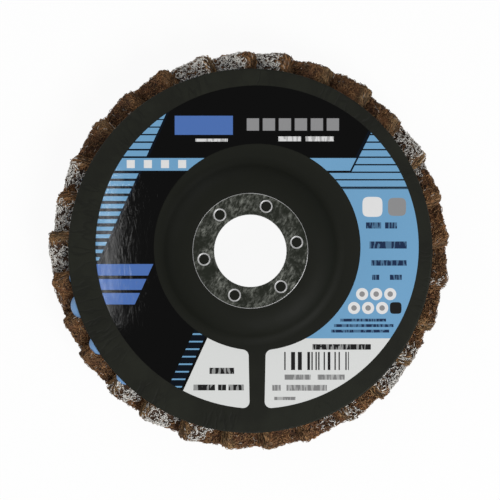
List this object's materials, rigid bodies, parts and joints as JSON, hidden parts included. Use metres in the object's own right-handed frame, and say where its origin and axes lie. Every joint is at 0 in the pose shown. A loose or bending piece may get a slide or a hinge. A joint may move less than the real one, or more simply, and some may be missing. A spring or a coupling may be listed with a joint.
{
  "type": "flap disc",
  "caption": "Flap disc for an angle grinder: overlapping non-woven pads glued under a dished plate with a steel ring in its bore and a printed label.",
  "frame": {"origin": "centre of the bore at the steel ring's outer face, which the machine's flange clamps", "axes": "+Z along the bore towards the machine, so the label faces up and the flaps hang below; the label's gap lies towards -Y"},
  "size_m": [0.1247, 0.1247, 0.0233],
  "materials": {
    "plate": "moulded glass-filled plastic, matt black",
    "ring": "punched steel with bevelled holes",
    "label": "glossy laminated paper, black, light blue and white fields",
    "glue": "cured blue adhesive",
    "web": "non-woven abrasive web, reddish brown with pale fibres"
  },
  "bodies": {
    "root": {"backing_plate": "plate", "steel_ring": "ring", "label": "label", "adhesive_bed": "glue", "flap_01": "web", "flap_02": "web", "flap_03": "web", "flap_04": "web", "flap_05": "web", "flap_06": "web", "flap_07": "web", "flap_08": "web", "flap_09": "web", "flap_10": "web", "flap_11": "web", "flap_12": "web", "flap_13": "web", "flap_14": "web", "flap_15": "web", "flap_16": "web", "flap_17": "web", "flap_18": "web", "flap_19": "web", "flap_20": "web", "flap_21": "web", "flap_22": "web", "flap_23": "web", "flap_24": "web", "flap_25": "web", "flap_26": "web", "flap_27": "web", "flap_28": "web", "flap_29": "web"}
  },
  "joints": []
}
